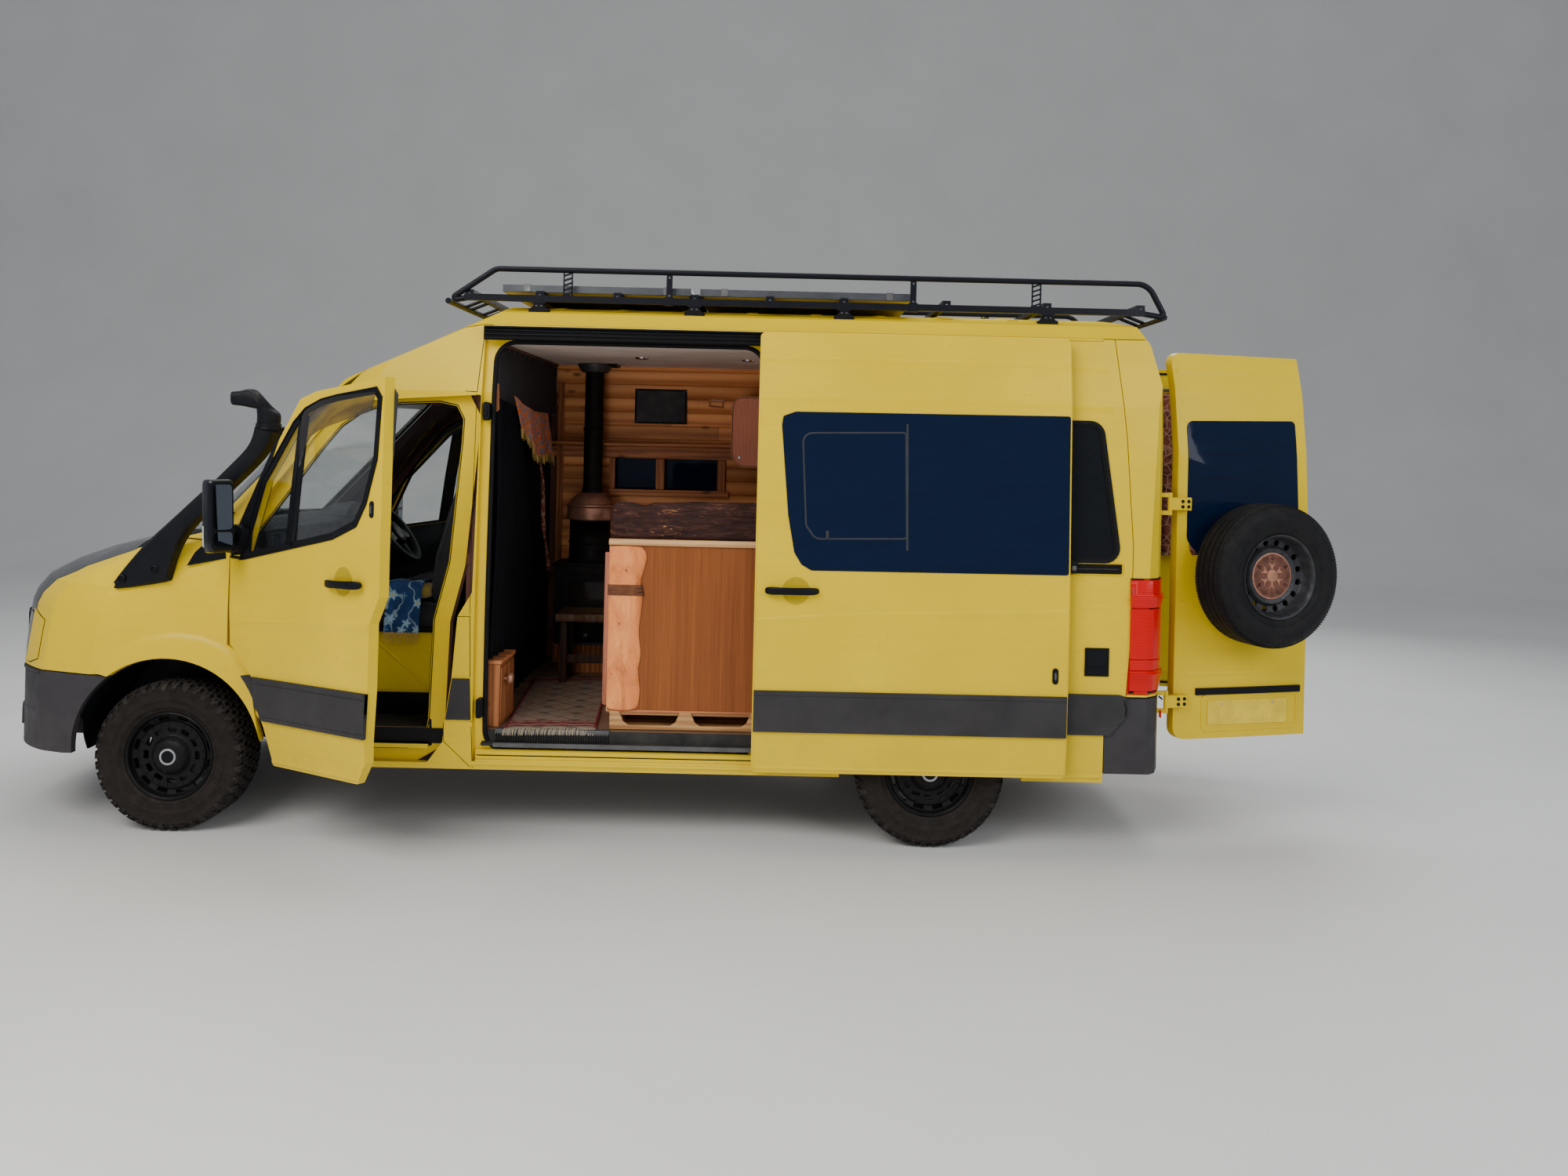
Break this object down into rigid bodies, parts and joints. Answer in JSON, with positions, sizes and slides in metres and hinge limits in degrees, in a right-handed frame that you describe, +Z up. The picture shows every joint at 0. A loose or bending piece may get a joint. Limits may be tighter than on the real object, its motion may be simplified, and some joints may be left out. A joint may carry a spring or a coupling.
{
  "type": "high-roof camper van",
  "caption": "Yellow long-wheelbase high-roof panel van lived in as a camper, with opening cab, back and bonnet leaves, slid-back side door, spare wheel, roof rack and wooden interior.",
  "frame": {"origin": "middle of the parked van's box, on the ground under it", "axes": "+X towards the rear of the van, +Y towards its right-hand side, +Z up"},
  "size_m": [6.6643, 2.8309, 2.787],
  "materials": {
    "yellow_paint": "gloss",
    "black_satin": "satin",
    "grey_plastic": "matte",
    "frame_black": "satin",
    "clear_glass": "gloss",
    "dark_glass": "gloss",
    "lamp_clear": "gloss",
    "lamp_red": "gloss",
    "tyre": "matte",
    "rim_black": "satin",
    "steel": "satin",
    "cast": "matte",
    "seat_cloth": "matte",
    "trim_black": "matte",
    "pine": "satin",
    "floor_wood": "satin",
    "laminate": "satin",
    "bark": "matte",
    "stove_black": "matte",
    "solar": "gloss"
  },
  "bodies": {
    "van_body": {"left_body_side": "yellow_paint", "left_cab_side": "yellow_paint", "right_body_side": "yellow_paint", "high_roof": "yellow_paint", "rear_frame": "yellow_paint", "left_tail_lamp": "lamp_red", "right_tail_lamp": "lamp_red", "rear_bumper": "grey_plastic", "grille": "black_satin", "left_headlamp": "lamp_clear", "right_headlamp": "lamp_clear", "left_front_wing": "yellow_paint", "right_front_wing": "yellow_paint", "scuttle_panel": "black_satin", "windscreen": "clear_glass", "front_bumper": "grey_plastic", "sliding_door": "yellow_paint", "sliding_door_glass": "dark_glass", "left_side_glass": "dark_glass", "right_side_glass": "dark_glass", "floor_pan": "floor_wood", "underframe": "frame_black", "engine_and_driveline": "cast", "front_crossmember": "frame_black", "rear_axle": "frame_black", "dashboard": "trim_black", "passenger_seat": "seat_cloth", "driver_seat": "seat_cloth", "cabin_lining": "pine", "kitchen_unit": "laminate", "low_shelf": "pine", "bark_edge_slab": "bark", "wall_cupboard": "laminate", "wood_stove": "stove_black", "roof_rack": "frame_black", "solar_panels": "solar", "snorkel": "black_satin"},
    "left_cab_door": {"left_cab_door": "yellow_paint", "left_cab_door_glass": "clear_glass", "left_mirror": "black_satin"},
    "right_cab_door": {"right_cab_door": "yellow_paint", "right_cab_door_glass": "clear_glass", "right_mirror": "black_satin"},
    "left_rear_door": {"left_rear_door": "yellow_paint", "left_rear_door_glass": "dark_glass", "spare_tyre": "tyre", "spare_rim_and_carrier": "steel"},
    "right_rear_door": {"right_rear_door": "yellow_paint", "right_rear_door_glass": "dark_glass"},
    "bonnet": {"bonnet": "black_satin"},
    "left_knuckle": {"left_knuckle": "cast"},
    "right_knuckle": {"right_knuckle": "cast"},
    "front_left_wheel": {"front_left_tyre": "tyre", "front_left_rim": "rim_black"},
    "front_right_wheel": {"front_right_tyre": "tyre", "front_right_rim": "rim_black"},
    "rear_left_wheel": {"rear_left_tyre": "tyre", "rear_left_rim": "rim_black"},
    "rear_right_wheel": {"rear_right_tyre": "tyre", "rear_right_rim": "rim_black"}
  },
  "joints": [
    {"name": "left_steer", "type": "hinge", "parent": "van_body", "child": "left_knuckle", "pos_m": [-2.332, -0.4445, 0.361], "axis": [0, 0, 1], "range_deg": [-33, 33]},
    {"name": "right_steer", "type": "hinge", "parent": "van_body", "child": "right_knuckle", "pos_m": [-2.332, 0.9355, 0.361], "axis": [0, 0, 1], "range_deg": [-33, 33]},
    {"name": "front_left_spin", "type": "hinge", "parent": "left_knuckle", "child": "front_left_wheel", "pos_m": [-2.332, -0.5925, 0.361], "axis": [0, 1, 0], "continuous": true},
    {"name": "front_right_spin", "type": "hinge", "parent": "right_knuckle", "child": "front_right_wheel", "pos_m": [-2.332, 1.0835, 0.361], "axis": [0, 1, 0], "continuous": true},
    {"name": "rear_left_spin", "type": "hinge", "parent": "van_body", "child": "rear_left_wheel", "pos_m": [1.333, -0.5925, 0.361], "axis": [0, 1, 0], "continuous": true},
    {"name": "rear_right_spin", "type": "hinge", "parent": "van_body", "child": "rear_right_wheel", "pos_m": [1.333, 1.0835, 0.361], "axis": [0, 1, 0], "continuous": true},
    {"name": "left_cab_door_hinge", "type": "hinge", "parent": "van_body", "child": "left_cab_door", "pos_m": [-2.045, -0.7605, 0.9], "axis": [0, -0.07, -0.9975], "range_deg": [-36, 34]},
    {"name": "right_cab_door_hinge", "type": "hinge", "parent": "van_body", "child": "right_cab_door", "pos_m": [-2.045, 1.2515, 0.9], "axis": [0, -0.07, 0.9975], "range_deg": [0, 70]},
    {"name": "left_rear_door_hinge", "type": "hinge", "parent": "van_body", "child": "left_rear_door", "pos_m": [2.5, -0.5925, 1.2], "axis": [0, 0, -1], "range_deg": [-73, 82]},
    {"name": "right_rear_door_hinge", "type": "hinge", "parent": "van_body", "child": "right_rear_door", "pos_m": [2.5, 1.0835, 1.2], "axis": [0, 0, 1], "range_deg": [-73, 97]},
    {"name": "bonnet_hinge", "type": "hinge", "parent": "van_body", "child": "bonnet", "pos_m": [-2.594, 0.2455, 1.44], "axis": [0, 1, 0], "range_deg": [0, 50]}
  ],
  "couplings": [
    {"joint": "right_steer", "follows": "left_steer", "ratio": 1}
  ]
}
